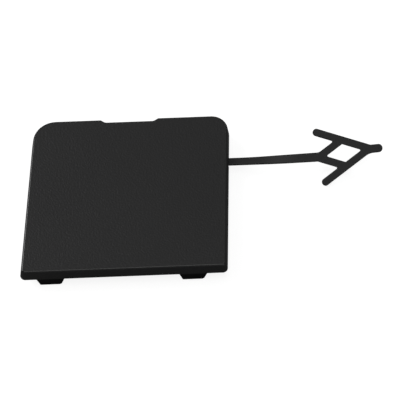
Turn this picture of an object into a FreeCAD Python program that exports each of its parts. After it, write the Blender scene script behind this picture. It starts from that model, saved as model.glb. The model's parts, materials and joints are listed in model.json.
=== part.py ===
"""Snap-in cover for the tow hook opening of a car bumper, moulded in one piece.

A flat panel with a drafted skirt closes the opening. Two lugs under its lower edge hook in first,
a snap latch behind the pry notch of its upper edge holds it shut, and a flat tether strap with an
arrow-shaped anchor keeps it on the bumper while the opening is in use.

Millimetres. The cover lies face up. The origin is in the middle of the lower rim's seating face,
+X runs along the lower edge towards the strap, +Y up the cover and +Z out of its face.
"""
import FreeCAD, Part
import math
import os

Vector = FreeCAD.Vector

# Panel and skirt. The rim is the skirt's open edge, which seats on the bumper at z = 0.
RIM_WIDTH_LOW = 81.5        # along the lower edge, corner to corner
RIM_WIDTH_HIGH = 79.9       # along the upper edge, corner to corner
RIM_HEIGHT = 70.4           # from the lower edge to the upper edge
RIM_LEAN = 4.95             # the upper edge's middle stands this far right of the lower edge's
DEPTH = 5.2                 # from the rim to the face
DRAFT = 8.0                 # degrees by which the skirt narrows towards the face
PLATE = 2.4                 # thickness behind the face
WALL = 2.0                  # thickness of the skirt
EDGE_RADIUS = 0.7           # rounding between face and skirt
LOW_CORNER_RADIUS = 2.1     # all corner radii are those of the rim
LEFT_CORNER_RADIUS = 10.0
RIGHT_CORNER_RADIUS = 7.1
CAVITY_CORNER_RADIUS = 0.6  # the least corner radius inside the skirt

# Pry notch in the upper edge
NOTCH_MIDDLE = -0.9         # from the middle of the upper edge
NOTCH_FLOOR = 19.3
NOTCH_MOUTH = 22.8
NOTCH_DEPTH = 1.2
NOTCH_RADIUS = 1.5          # of its four corners, halfway up the skirt

# Stiffening ribs behind the panel
RIB = 1.2                   # thickness
RIB_HEIGHT = 1.6            # from the back of the panel
CROSS_RIB_LOW = 22.0        # height of the lower cross rib up the panel

# Hooking lugs under the lower edge
LUG_LEFT = -28.8            # middle of each lug along the lower edge
LUG_RIGHT = 27.2
LUG_WIDTH = 11.3            # at the rim
LUG_REACH = 4.9             # below the rim
LUG_THICKNESS = 2.4
LUG_INSET = 0.3             # its front stands this far inside the rim's outer edge
LUG_SIDE_TAPER = 1.5        # each side draws in by this much down to the foot
LUG_LEFT_RADIUS = 0.5       # of the foot's left corner, seen from the front
LUG_RIGHT_RADIUS = 1.3
GUSSET = 1.2                # thickness of the two gussets behind each lug
GUSSET_SPACING = 5.4
GUSSET_REACH = 6.0          # along the panel, behind the lug
GUSSET_FOOT = 1.0           # its lower end stays this far above the lug's foot

# Snap latch behind the notch
LATCH_WIDTH = 14.0
LATCH_THICKNESS = 1.6
LATCH_GAP = 1.5             # between the tongue and the skirt, for the tongue to bend into
LATCH_REACH = LUG_REACH     # below the rim, so that the cover lies level on its back
CATCH_GAP = 2.6             # from the rim down to the catch: the bumper skin goes between
CATCH = 1.5                 # how far the catch stands out from the tongue
LATCH_TIP = 0.5             # the ramp ends this far from the tongue's end
LATCH_RIB_REACH = 3.0       # of the two ribs that stiffen the tongue's root

# Tether strap
STRAP_ALONG = 49.2          # height of the strap up the panel
STRAP_THICKNESS = 1.2
STRAP_EDGE_RADIUS = 0.35
STRAP_WIDTH_ROOT = 3.2
STRAP_WIDTH_END = 3.7
STRAP_OVER_SEAT = 0.1       # the strap's underside clears the seating plane by this much
STRAP_STRAIGHT_LENGTH = 4.0 # outside the rim, before it turns
STRAP_SLOT_CLEARANCE = 0.5  # round the strap, where it leaves through the skirt
POST_LENGTH = 7.0           # the post behind the panel that the strap grows from
POST_WIDTH = 5.4
POST_FROM_SKIRT = 2.0

# Arrow-shaped anchor, in its own plane: length along the arrow, width across it
ARROW_FROM_RIM = 49.5       # middle of the arrow's window, to the right of the lower right corner
ARROW_ALONG = 50.7          # and its height up the panel
ARROW_LIFT = 1.8            # and above the seating plane
ARROW_TURN = 26.0           # degrees that the strap's twist turns the arrow about its length
ARROW_SWING = 8.2           # degrees by which the arrow points up in its own plane
ARM_WIDTH = 3.05
ARM_ANGLE = 27.0            # degrees between each arm and the arrow's length
WINDOW_HALF_LENGTH = 7.25
WINDOW_RADIUS = 0.4
BARB_OFFSET = 9.4           # the barbs' ends are centred this far behind the window's middle
TIP_LENGTH = 8.6            # from the window's front corner
TIP_WIDTH = 3.4
TIP_DROOP = 4.3             # degrees by which the tip points below the arrow's length
JOIN_OFFSET = 8.2           # the strap's line meets the arrow's this far behind the window's middle
JOIN_ANGLE = 6.6            # degrees between the two there
STUB_LENGTH = 0.3           # flat stretch of strap behind the corner of the arms' rear edges
INNER_FILLET = 0.4          # between barb and inner arm
STRAP_FILLET_ABOVE = 2.7    # between strap and arm
STRAP_FILLET_BELOW = 1.2
TIP_FILLET_ABOVE = 2.0      # between arm and tip
TIP_FILLET_BELOW = 6.0
END_ROUNDING = 0.48         # corner radius of a barb's or the tip's end, as a share of its width

STRAP_SECTIONS = 9          # sections of the strap's twisted stretch
OVERLAP = 0.6               # how deep one form runs into the next one where they grow together
SAME = 1e-6                 # lengths that differ by less are equal
ABOVE, BELOW = 1, -1        # the two sides of the arrow's middle line


def outward(start, end):
    """Unit normal of a side, to the right of its direction: outward on a counter-clockwise outline."""
    run = end - start
    return Vector(run.y, -run.x, 0) / run.Length


def crossing(p, u, q, v):
    """The point where the line through p along u meets the line through q along v."""
    span = q - p
    return p + u * ((span.x * v.y - span.y * v.x) / (u.x * v.y - u.y * v.x))


def grown(corners, grow, least=0.0):
    """The same outline with each side moved outward by grow and its rounded corners concentric."""
    moved = []
    for i, (point, radius) in enumerate(corners):
        before = corners[i - 1][0]
        after = corners[(i + 1) % len(corners)][0]
        u = point - before
        v = after - point
        shift_u = outward(before, point) * grow
        shift_v = outward(point, after) * grow
        corner = crossing(point + shift_u, u, point + shift_v, v)
        bulges = u.x * v.y - u.y * v.x > 0
        moved.append((corner, max(radius + (grow if bulges else -grow), least)))
    return moved


def outline(corners, z=0.0):
    """A closed wire through the corners, each rounded by its own radius; a radius of 0 stays sharp."""
    lift = Vector(0, 0, z)
    ends = []
    for i, (point, radius) in enumerate(corners):
        back = (corners[i - 1][0] - point).normalize()
        ahead = (corners[(i + 1) % len(corners)][0] - point).normalize()
        half = back.getAngle(ahead) / 2
        reach = radius / math.tan(half)
        middle = (back + ahead).normalize() * (radius / math.sin(half) - radius)
        ends.append([point + lift + step for step in (back * reach, middle, ahead * reach)])
    edges = []
    for i, (first, middle, last) in enumerate(ends):
        if first != last:
            edges.append(Part.Arc(first, middle, last).toShape())
        following = ends[(i + 1) % len(ends)][0]
        edges.append(Part.LineSegment(last, following).toShape())
    return Part.Wire(edges)


def prism(corners, base, height):
    """An outline in the plane z = base, extruded upward."""
    return Part.Face(outline(corners, base)).extrude(Vector(0, 0, height))


def sharp(*points):
    """Corners without rounding."""
    return [(Vector(x, y, 0), 0.0) for x, y in points]


def panel_corners():
    """The rim's outline, counter-clockwise from the lower left corner, with the pry notch."""
    low = -WALL / 2
    high = low + RIM_HEIGHT
    notch = RIM_LEAN + NOTCH_MIDDLE
    draft_halfway = math.tan(math.radians(DRAFT)) * DEPTH / 2
    mouth_radius = NOTCH_RADIUS + draft_halfway
    floor_radius = NOTCH_RADIUS - draft_halfway
    return [
        (Vector(-RIM_WIDTH_LOW / 2, low, 0), LOW_CORNER_RADIUS),
        (Vector(RIM_WIDTH_LOW / 2, low, 0), LOW_CORNER_RADIUS),
        (Vector(RIM_LEAN + RIM_WIDTH_HIGH / 2, high, 0), RIGHT_CORNER_RADIUS),
        (Vector(notch + NOTCH_MOUTH / 2, high, 0), mouth_radius),
        (Vector(notch + NOTCH_FLOOR / 2, high - NOTCH_DEPTH, 0), floor_radius),
        (Vector(notch - NOTCH_FLOOR / 2, high - NOTCH_DEPTH, 0), floor_radius),
        (Vector(notch - NOTCH_MOUTH / 2, high, 0), mouth_radius),
        (Vector(RIM_LEAN - RIM_WIDTH_HIGH / 2, high, 0), LEFT_CORNER_RADIUS),
    ]


def right_rim(y):
    """Where the rim's outer right edge stands at the height y up the panel."""
    low = Vector(RIM_WIDTH_LOW / 2, -WALL / 2, 0)
    high = Vector(RIM_LEAN + RIM_WIDTH_HIGH / 2, RIM_HEIGHT - WALL / 2, 0)
    return low.x + (high.x - low.x) * (y - low.y) / (high.y - low.y)


def narrowing(z):
    """How far the drafted skirt has drawn in at the height z above the rim."""
    return math.tan(math.radians(DRAFT)) * z


def drafted(grow_at_rim, base, top, least=0.0):
    """A solid between two levels whose sides follow the skirt's draft."""
    rim = panel_corners()
    wires = [outline(grown(rim, grow_at_rim - narrowing(z), least), z) for z in (base, top)]
    return Part.makeLoft(wires, True, True)


def shell():
    """The panel with its skirt: a drafted solid with a rounded face edge, hollowed from behind."""
    body = drafted(0.0, 0.0, DEPTH)
    face_edges = [e for e in body.Edges if all(abs(v.Z - DEPTH) < SAME for v in e.Vertexes)]
    body = body.makeFillet(EDGE_RADIUS, face_edges)
    return body.cut(drafted(-WALL, 0.0, DEPTH - PLATE, CAVITY_CORNER_RADIUS))


def ribs():
    """Two ribs up the panel, in line with the lugs, and two across it, the upper one at the strap."""
    base = DEPTH - PLATE - RIB_HEIGHT
    height = RIB_HEIGHT + OVERLAP
    reach = RIM_WIDTH_LOW
    bars = []
    for x in (LUG_LEFT, LUG_RIGHT):
        bars.append(Part.makeBox(RIB, RIM_HEIGHT, height, Vector(x - RIB / 2, -WALL / 2, base)))
    for y in (CROSS_RIB_LOW, STRAP_ALONG):
        bars.append(Part.makeBox(2 * reach, RIB, height, Vector(-reach, y - RIB / 2, base)))
    grid = bars[0].multiFuse(bars[1:])
    return grid.common(drafted(-WALL + OVERLAP, 0.0, DEPTH - EDGE_RADIUS, CAVITY_CORNER_RADIUS))


def lug(x):
    """One hooking lug with the two gussets that carry it from behind."""
    root = DEPTH - PLATE
    back = LUG_INSET + LUG_THICKNESS - WALL / 2
    half = LUG_WIDTH / 2
    foot = half - LUG_SIDE_TAPER
    profile = [
        (Vector(-foot, -LUG_REACH, 0), LUG_LEFT_RADIUS),
        (Vector(foot, -LUG_REACH, 0), LUG_RIGHT_RADIUS),
        (Vector(half, 0, 0), 0.0),
        (Vector(-half, 0, 0), 0.0),
    ]
    tongue = prism(profile, 0.0, LUG_THICKNESS)
    tongue.Placement = FreeCAD.Placement(Vector(x, back, 0), FreeCAD.Rotation(Vector(1, 0, 0), 90))
    corner = Vector(x - half, -WALL / 2, 0)
    collar = Part.makeBox(LUG_WIDTH, LUG_THICKNESS + LUG_INSET, root + OVERLAP, corner)
    collar = collar.common(drafted(-LUG_INSET, 0.0, root + OVERLAP))
    side = sharp(
        (back - OVERLAP, -LUG_REACH + GUSSET_FOOT),
        (back, -LUG_REACH + GUSSET_FOOT),
        (back + GUSSET_REACH, root),
        (back + GUSSET_REACH, root + OVERLAP),
        (back - OVERLAP, root + OVERLAP),
    )
    pieces = [tongue, collar]
    for offset in (-GUSSET_SPACING / 2, GUSSET_SPACING / 2):
        gusset = prism(side, 0.0, GUSSET)
        gusset.Placement = across(x + offset - GUSSET / 2)
        pieces.append(gusset)
    return pieces


def across(x):
    """Stands a profile drawn in (y, z) upright, with its thickness running along +X from x."""
    return FreeCAD.Placement(Vector(x, 0, 0), FreeCAD.Rotation(Vector(1, 1, 1), 120))


def latch():
    """The snap latch: a springy tongue with a ramped catch, and two ribs at its root."""
    x = RIM_LEAN + NOTCH_MIDDLE
    root = DEPTH - PLATE
    skirt_inside = RIM_HEIGHT - WALL / 2 - NOTCH_DEPTH - WALL
    outside = skirt_inside - LATCH_GAP
    inside = outside - LATCH_THICKNESS
    tongue = sharp(
        (inside, root + OVERLAP),
        (inside, -LATCH_REACH),
        (outside, -LATCH_REACH),
        (outside, -LATCH_REACH + LATCH_TIP),
        (outside + CATCH, -CATCH_GAP - LATCH_TIP),
        (outside + CATCH, -CATCH_GAP),
        (outside, -CATCH_GAP),
        (outside, root + OVERLAP),
    )
    rib = sharp(
        (inside - LATCH_RIB_REACH, root + OVERLAP),
        (inside - LATCH_RIB_REACH, root),
        (inside, root - LATCH_RIB_REACH),
        (inside + OVERLAP, root - LATCH_RIB_REACH),
        (inside + OVERLAP, root + OVERLAP),
    )
    pieces = [prism(tongue, 0.0, LATCH_WIDTH)]
    pieces[0].Placement = across(x - LATCH_WIDTH / 2)
    for start in (x - LATCH_WIDTH / 2, x + LATCH_WIDTH / 2 - RIB):
        stiffener = prism(rib, 0.0, RIB)
        stiffener.Placement = across(start)
        pieces.append(stiffener)
    return pieces


def strap_level():
    """Height of the strap's middle where it leaves the cover."""
    return STRAP_OVER_SEAT + STRAP_THICKNESS / 2


def strap_slot():
    """The opening in the skirt, from the rim up, that the strap leaves through."""
    half = STRAP_WIDTH_ROOT / 2 + STRAP_SLOT_CLEARANCE
    top = STRAP_OVER_SEAT + STRAP_THICKNESS + STRAP_SLOT_CLEARANCE
    start = right_rim(STRAP_ALONG) - WALL - POST_FROM_SKIRT
    return Part.makeBox(2 * WALL + POST_FROM_SKIRT, 2 * half, top, Vector(start, STRAP_ALONG - half, 0))


def post():
    """The post behind the panel that the strap grows from."""
    end = right_rim(STRAP_ALONG) - WALL - POST_FROM_SKIRT
    height = DEPTH - PLATE + OVERLAP - STRAP_OVER_SEAT
    corner = Vector(end - POST_LENGTH, STRAP_ALONG - POST_WIDTH / 2, STRAP_OVER_SEAT)
    return Part.makeBox(POST_LENGTH, POST_WIDTH, height, corner)


def strap_section(width):
    """The strap's rounded section, across it and through it, seen along the strap."""
    half = width / 2
    depth = STRAP_THICKNESS / 2
    corners = [(-half, -depth), (half, -depth), (half, depth), (-half, depth)]
    return outline([(Vector(x, y, 0), STRAP_EDGE_RADIUS) for x, y in corners])


def arrow_axes():
    """The arrow's middle, and the directions along it and across it."""
    turn = math.radians(ARROW_TURN)
    swing = math.radians(ARROW_SWING)
    middle = Vector(RIM_WIDTH_LOW / 2 + ARROW_FROM_RIM, ARROW_ALONG, ARROW_LIFT)
    level = Vector(1, 0, 0)
    rising = Vector(0, math.cos(turn), math.sin(turn))
    along = level * math.cos(swing) + rising * math.sin(swing)
    across_it = rising * math.cos(swing) - level * math.sin(swing)
    return middle, along, across_it


def standing(point, x_axis, y_axis):
    """Moves a form drawn in the plane z = 0 to a point, with its x and y along the given directions."""
    z_axis = x_axis.cross(y_axis)
    return FreeCAD.Placement(point, FreeCAD.Rotation(x_axis, y_axis, z_axis, "XYZ"))


def pointing_down(degrees):
    """A direction in the arrow's plane, that many degrees below the arrow's length."""
    angle = math.radians(degrees)
    return Vector(math.cos(angle), -math.sin(angle), 0)


def beside(direction, distance):
    """The step that far to the left of a direction in the arrow's plane."""
    return Vector(-direction.y, direction.x, 0) * distance


def arm_shift():
    """How far apart the inner and outer edges of an arm cross the arrow's middle line."""
    return ARM_WIDTH / math.sin(math.radians(ARM_ANGLE))


def join_length():
    """From where the strap's line meets the arrow's, back to the end of the arrow's flat stub."""
    rear = WINDOW_HALF_LENGTH + arm_shift()
    return (rear - JOIN_OFFSET) * math.cos(math.radians(JOIN_ANGLE)) + STUB_LENGTH


def arrow_half(side):
    """Corners of the arrow's outline ABOVE or BELOW its middle line, from the strap to the tip."""
    leading = pointing_down(side * ARM_ANGLE)
    trailing = pointing_down(-side * ARM_ANGLE)
    window_front = Vector(WINDOW_HALF_LENGTH, 0, 0)
    front = Vector(WINDOW_HALF_LENGTH + arm_shift(), 0, 0)
    rear = front * -1
    cap_middle = (window_front + front) / 2
    cap_middle = cap_middle - leading * ((cap_middle.x + BARB_OFFSET) / leading.x)
    cap_end = cap_middle - leading * (ARM_WIDTH / 2)
    cap_line = beside(leading, 1.0)
    join = Vector(-JOIN_OFFSET, 0, 0)
    strap_line = pointing_down(JOIN_ANGLE)
    strap_side = join + beside(strap_line, side * STRAP_WIDTH_END / 2)
    tip_line = pointing_down(TIP_DROOP)
    tip_side = window_front + beside(tip_line, side * TIP_WIDTH / 2)
    strap_fillet = STRAP_FILLET_ABOVE if side == ABOVE else STRAP_FILLET_BELOW
    tip_fillet = TIP_FILLET_ABOVE if side == ABOVE else TIP_FILLET_BELOW
    return [
        (strap_side - strap_line * join_length(), 0.0),
        (crossing(strap_side, strap_line, rear, trailing), strap_fillet),
        (crossing(rear, trailing, window_front, leading), INNER_FILLET),
        (crossing(window_front, leading, cap_end, cap_line), END_ROUNDING * ARM_WIDTH),
        (crossing(front, leading, cap_end, cap_line), END_ROUNDING * ARM_WIDTH),
        (crossing(front, leading, tip_side, tip_line), tip_fillet),
        (tip_side + tip_line * TIP_LENGTH, END_ROUNDING * TIP_WIDTH),
    ]


def arrow():
    """The anchor: two swept-back barbs braced by two inner arms, which leave a diamond window."""
    half_height = WINDOW_HALF_LENGTH * math.tan(math.radians(ARM_ANGLE))
    window = [
        (Vector(-WINDOW_HALF_LENGTH, 0, 0), WINDOW_RADIUS),
        (Vector(0, -half_height, 0), WINDOW_RADIUS),
        (Vector(WINDOW_HALF_LENGTH, 0, 0), WINDOW_RADIUS),
        (Vector(0, half_height, 0), WINDOW_RADIUS),
    ]
    corners = arrow_half(BELOW) + arrow_half(ABOVE)[::-1]
    base = -STRAP_THICKNESS / 2
    plate = prism(corners, base, STRAP_THICKNESS)
    strap_line = pointing_down(JOIN_ANGLE)
    join_plane = -JOIN_OFFSET * strap_line.x - join_length()
    rims = []
    for edge in plate.Edges:
        flat = abs(edge.BoundBox.ZLength) < SAME
        at_strap = all(abs(v.Point.dot(strap_line) - join_plane) < SAME for v in edge.Vertexes)
        if flat and not at_strap:
            rims.append(edge)
    # The window is cut last, so its rims stay sharp, as where two cores of the mould meet.
    plate = plate.makeFillet(STRAP_EDGE_RADIUS, rims).cut(prism(window, base, STRAP_THICKNESS))
    middle, along, across_it = arrow_axes()
    plate.Placement = standing(middle, along, across_it)
    return plate


def strap():
    """The strap: straight out of the post and past the rim, then easing into the arrow's plane."""
    straight_end = Vector(right_rim(STRAP_ALONG) + STRAP_STRAIGHT_LENGTH, STRAP_ALONG, strap_level())
    straight_start = right_rim(STRAP_ALONG) - WALL - POST_FROM_SKIRT - OVERLAP
    run = Vector(0, 0, straight_end.x - straight_start)
    root = Part.Face(strap_section(STRAP_WIDTH_ROOT)).extrude(run)
    start = Vector(straight_start, STRAP_ALONG, strap_level())
    root.Placement = standing(start, Vector(0, 1, 0), Vector(0, 0, 1))

    middle, along, across_it = arrow_axes()
    local = pointing_down(JOIN_ANGLE)
    heading = along * local.x + across_it * local.y
    sideways = across_it * local.x - along * local.y
    arrival = middle - along * JOIN_OFFSET - heading * join_length()
    pull = (arrival - straight_end).Length / 3
    control = [straight_end, straight_end + Vector(pull, 0, 0), arrival - heading * pull, arrival]
    line = Part.BezierCurve()
    line.setPoles(control)
    wires = []
    for i in range(STRAP_SECTIONS):
        share = i / (STRAP_SECTIONS - 1)
        eased = share * share * (3 - 2 * share)
        point = line.value(share)
        forward = line.tangent(share)[0]
        side = Vector(0, 1, 0) * (1 - eased) + sideways * eased
        side = (side - forward * side.dot(forward)).normalize()
        section = strap_section(STRAP_WIDTH_ROOT + (STRAP_WIDTH_END - STRAP_WIDTH_ROOT) * eased)
        section.Placement = standing(point, side, forward.cross(side))
        wires.append(section)
    return [root, Part.makeLoft(wires, True, False)]


def cover():
    """The whole moulding as one solid."""
    body = shell().fuse(ribs()).cut(strap_slot())
    forms = [post(), arrow()] + lug(LUG_LEFT) + lug(LUG_RIGHT) + latch() + strap()
    return body.multiFuse(forms).removeSplitter()


os.makedirs("parts", exist_ok=True)
moulding = cover()
box = moulding.BoundBox
print("solids", len(moulding.Solids), "valid", moulding.isValid(), "faces", len(moulding.Faces))
print("size %.2f x %.2f x %.2f mm" % (box.XLength, box.YLength, box.ZLength))
print("lowest %.3f, volume %.0f mm3" % (box.ZMin, moulding.Volume))
moulding.exportStep("parts/cover.step")
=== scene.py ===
# %% [markdown]
# # A bumper tow hook cover
#
# The cover closes the tow hook's opening in a car bumper. It is one black polypropylene moulding: a
# flat panel with a skirt, two lugs that hook in below, a snap latch behind the pry notch, and a flat
# strap whose arrow-shaped end keeps the cover on the bumper. This file dresses it for its picture.
#
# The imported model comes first. Everything here is measured in its frame: the origin is in the middle
# of the lower rim, X runs along the lower edge, Y up the cover and Z out of its face.

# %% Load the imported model
import json
import math

import bmesh
import bpy
from mathutils import Matrix, Vector

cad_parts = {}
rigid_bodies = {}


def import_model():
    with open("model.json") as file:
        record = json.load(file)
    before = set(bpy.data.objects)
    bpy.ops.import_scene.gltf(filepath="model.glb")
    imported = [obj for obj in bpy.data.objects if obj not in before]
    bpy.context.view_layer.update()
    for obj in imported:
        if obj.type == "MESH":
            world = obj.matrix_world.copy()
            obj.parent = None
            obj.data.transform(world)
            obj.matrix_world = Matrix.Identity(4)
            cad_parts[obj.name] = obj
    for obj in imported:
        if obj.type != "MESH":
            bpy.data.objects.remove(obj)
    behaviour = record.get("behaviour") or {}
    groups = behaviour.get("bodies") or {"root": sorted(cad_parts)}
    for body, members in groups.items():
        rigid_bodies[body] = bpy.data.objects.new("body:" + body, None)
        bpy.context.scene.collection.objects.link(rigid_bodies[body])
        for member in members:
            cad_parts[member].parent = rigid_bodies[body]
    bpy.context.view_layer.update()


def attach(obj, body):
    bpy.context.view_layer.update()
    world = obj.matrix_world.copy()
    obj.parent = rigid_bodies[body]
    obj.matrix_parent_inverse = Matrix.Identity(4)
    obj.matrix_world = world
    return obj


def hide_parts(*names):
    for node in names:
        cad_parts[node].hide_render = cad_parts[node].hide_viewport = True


for thing in list(bpy.data.objects):
    bpy.data.objects.remove(thing)

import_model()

# %% [markdown]
# ## Why the moulding is built again
#
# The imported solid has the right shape, but its mesh is coarse: short chords round the corners, and
# knife edges on ribs and lugs where a mould always leaves a small radius. A bevel modifier on such a
# triangulated mesh gives torn corners. So the moulding is skinned again from the same sizes, with
# every edge rounded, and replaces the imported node. Lengths are written in millimetres, as on the
# part's drawing, and are turned into metres when a mesh is made.

# %% Sizes of the panel and its skirt
MM = 0.001

RIM_WIDTH_LOW = 81.5
RIM_WIDTH_HIGH = 79.9
RIM_HEIGHT = 70.4
RIM_LEAN = 4.95
DEPTH = 5.2
DRAFT = math.radians(8)
PLATE = 2.4
WALL = 2.0
EDGE_RADIUS = 0.7
LOW_CORNER_RADIUS = 2.1
LEFT_CORNER_RADIUS = 10.0
RIGHT_CORNER_RADIUS = 7.1
NOTCH_MIDDLE = RIM_LEAN - 0.9
NOTCH_FLOOR = 19.3
NOTCH_MOUTH = 22.8
NOTCH_DEPTH = 1.2
NOTCH_RADIUS = 1.5

LOW_EDGE = -WALL / 2
HIGH_EDGE = LOW_EDGE + RIM_HEIGHT
BACK = DEPTH - PLATE
OVERLAP = 0.6

print("panel", RIM_WIDTH_LOW, "x", RIM_HEIGHT, "mm, skirt", DEPTH, "mm deep")

# %% [markdown]
# ## Outlines that can grow and shrink
#
# A moulded form is a stack of outlines: each level of the skirt is the rim's outline, drawn in a
# little. If every level has the same number of points, neighbouring levels join with plain quads. So
# an outline is kept as its corners with their radii. Growing it moves the sides outward and keeps the
# corner arcs concentric, as a rolling-ball fillet does, and only then is it turned into points. An arc
# never shrinks below HAIR_RADIUS, or its points would fall together.

# %% Growing an outline
HAIR_RADIUS = 0.03


def outward_normals(corners, i):
    """Unit normals of the sides before and after corner i of a counter-clockwise outline."""
    point = corners[i][0]
    before = point - corners[i - 1][0]
    after = corners[(i + 1) % len(corners)][0] - point
    return [Vector((side.y, -side.x)).normalized() for side in (before, after)]


def bulges(first, second):
    """Whether the outline turns left between two sides, given their outward normals."""
    return first.x * second.y - first.y * second.x > 0


def grown(corners, step, least=HAIR_RADIUS):
    """The same outline with its sides moved outward by step and its corner arcs concentric."""
    moved = []
    for i, (point, radius) in enumerate(corners):
        first, second = outward_normals(corners, i)
        corner = point + (first + second) * step / (1 + first.dot(second))
        change = step if bulges(first, second) else -step
        moved.append((corner, max(radius + change, least)))
    return moved


square = [(Vector(corner), 0.2) for corner in ((0, 0), (2, 0), (2, 2), (0, 2))]
print("a 2 mm square grown by 1 mm ends at", tuple(grown(square, 1)[2][0]))

# %% From corners to points
def ring(corners, z=0.0, arc_steps=10):
    """The points of an outline at the height z, each corner an arc of the same number of steps."""
    points = []
    for i, (point, radius) in enumerate(corners):
        first, second = outward_normals(corners, i)
        side = 1 if bulges(first, second) else -1
        centre = point - (first + second) * side * radius / (1 + first.dot(second))
        turn = math.atan2(first.x * second.y - first.y * second.x, first.dot(second))
        start = math.atan2(first.y, first.x)
        for step in range(arc_steps + 1):
            angle = start + turn * step / arc_steps
            x = centre.x + side * radius * math.cos(angle)
            y = centre.y + side * radius * math.sin(angle)
            points.append(Vector((x, y, z)))
    return points


print("the square's outline has", len(ring(square)), "points")

# %% Outline of the rim
rim_corners = [
    (Vector((-RIM_WIDTH_LOW / 2, LOW_EDGE)), LOW_CORNER_RADIUS),
    (Vector((RIM_WIDTH_LOW / 2, LOW_EDGE)), LOW_CORNER_RADIUS),
    (Vector((RIM_LEAN + RIM_WIDTH_HIGH / 2, HIGH_EDGE)), RIGHT_CORNER_RADIUS),
    (Vector((NOTCH_MIDDLE + NOTCH_MOUTH / 2, HIGH_EDGE)), NOTCH_RADIUS),
    (Vector((NOTCH_MIDDLE + NOTCH_FLOOR / 2, HIGH_EDGE - NOTCH_DEPTH)), NOTCH_RADIUS),
    (Vector((NOTCH_MIDDLE - NOTCH_FLOOR / 2, HIGH_EDGE - NOTCH_DEPTH)), NOTCH_RADIUS),
    (Vector((NOTCH_MIDDLE - NOTCH_MOUTH / 2, HIGH_EDGE)), NOTCH_RADIUS),
    (Vector((RIM_LEAN - RIM_WIDTH_HIGH / 2, HIGH_EDGE)), LEFT_CORNER_RADIUS),
]
print("rim outline has", len(ring(rim_corners)), "points")

# %% [markdown]
# ## Skinning a stack of rings
#
# The `skin` helper joins a list of rings with quads and closes both ends with one flat face each.
# The result is a watertight form, which the union at the end needs. Each form carries four material
# slots: slot 0 is the grained outside, slot 1 the plain satin of the back, the strap and the anchor,
# slot 2 the polished line round the face, where the grain stops, and slot 3 the lugs' painted shade,
# a blacker material for the shade under the panel's edge. The union keeps them apart, because every
# form has all four.

# %% From rings to a closed form
grained = bpy.data.materials.new("grained_polypropylene")
satin = bpy.data.materials.new("satin_polypropylene")
polished = bpy.data.materials.new("polished_polypropylene")
# The fourth material is painted shade for the lugs, a blacker colour, not a finish of the mould.
painted_shade_lugs = bpy.data.materials.new("painted_shade_polypropylene")
finishes = [grained, satin, polished, painted_shade_lugs]
GRAINED, SATIN, POLISHED, PAINTED_SHADE = range(4)
MERGE_DISTANCE = 0.0005 * MM


def skin(name, rings, finish=SATIN, place=Matrix.Identity(4)):
    """A closed form from rings of equal length. finish is a slot, or one slot for each band."""
    form = bmesh.new()
    loops = [[form.verts.new(place @ point * MM) for point in points] for points in rings]
    bands = finish if isinstance(finish, list) else [finish] * (len(rings) + 1)
    form.faces.new(loops[0]).material_index = bands[0]
    for band, (lower, upper) in enumerate(zip(loops, loops[1:])):
        for i in range(len(lower)):
            quad = (lower[i - 1], lower[i], upper[i], upper[i - 1])
            form.faces.new(quad).material_index = bands[band + 1]
    form.faces.new(loops[-1]).material_index = bands[-1]
    bmesh.ops.remove_doubles(form, verts=form.verts, dist=MERGE_DISTANCE)
    bmesh.ops.recalc_face_normals(form, faces=form.faces)
    mesh = bpy.data.meshes.new(name)
    form.to_mesh(mesh)
    form.free()
    for material in finishes:
        mesh.materials.append(material)
    piece = bpy.data.objects.new(name, mesh)
    bpy.context.scene.collection.objects.link(piece)
    return piece


print("finishes:", [material.name for material in finishes])

# %% [markdown]
# ## Panel and skirt
#
# Seen in section, the shell is one line: along the face, round its edge, down the drafted flank, round
# the thin rim and up again inside to the panel's back. Each point of that line says how far the
# outline is grown and how high it stands. Working the section out once and sweeping it round the rim
# keeps the wall even, as a mould maker would draw it. Two rings lie close together on the face and on
# the back, so that the flat areas are shaded flat and only the rounding turns.

# %% Arcs and draft
def arc(middle_x, middle_z, radius, start, end, steps):
    """Points (across, height) along an arc from one angle to another, in degrees."""
    points = []
    for step in range(steps + 1):
        angle = math.radians(start + (end - start) * step / steps)
        points.append((middle_x + radius * math.cos(angle), middle_z + radius * math.sin(angle)))
    return points


def narrowing(z):
    """How far the drafted skirt has drawn in at the height z above the rim."""
    return math.tan(DRAFT) * z


print("the draft draws the face in by", round(narrowing(DEPTH), 2), "mm all round")

# %% The section of the shell
RIM_RADIUS = 0.25
ROOT_RADIUS = 0.6
HOLD = 0.3
EDGE_STEPS = 9
SMALL_STEPS = 4

draft_degrees = math.degrees(DRAFT)
edge_height = DEPTH - EDGE_RADIUS
edge_middle = -narrowing(edge_height) - EDGE_RADIUS / math.cos(DRAFT)
rim_middle = -narrowing(RIM_RADIUS) - RIM_RADIUS / math.cos(DRAFT)
seat_middle = -WALL - narrowing(RIM_RADIUS) + RIM_RADIUS / math.cos(DRAFT)
root_height = BACK - ROOT_RADIUS
root_middle = -WALL - narrowing(root_height) - ROOT_RADIUS / math.cos(DRAFT)

section = [(edge_middle - HOLD, DEPTH)]
section += arc(edge_middle, edge_height, EDGE_RADIUS, 90, draft_degrees, EDGE_STEPS)
section += arc(rim_middle, RIM_RADIUS, RIM_RADIUS, draft_degrees, -90, SMALL_STEPS)
outside_count = len(section)
section += arc(seat_middle, RIM_RADIUS, RIM_RADIUS, -90, -180 + draft_degrees, SMALL_STEPS)
section += arc(root_middle, root_height, ROOT_RADIUS, draft_degrees, 90, SMALL_STEPS)
section += [(root_middle - HOLD, BACK)]
print("section has", len(section), "points, of which", outside_count, "outside")

# %% Sweep the section round the rim
POLISHED_FROM = 2
POLISHED_TO = 7

shell_rings = [ring(grown(rim_corners, across), height) for across, height in section]
shell_finish = [GRAINED] * outside_count + [SATIN] * (len(section) + 1 - outside_count)
shell_finish[POLISHED_FROM:POLISHED_TO] = [POLISHED] * (POLISHED_TO - POLISHED_FROM)
moulding = skin("cover_moulding", shell_rings, shell_finish)
print("shell", len(moulding.data.vertices), "points")

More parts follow.
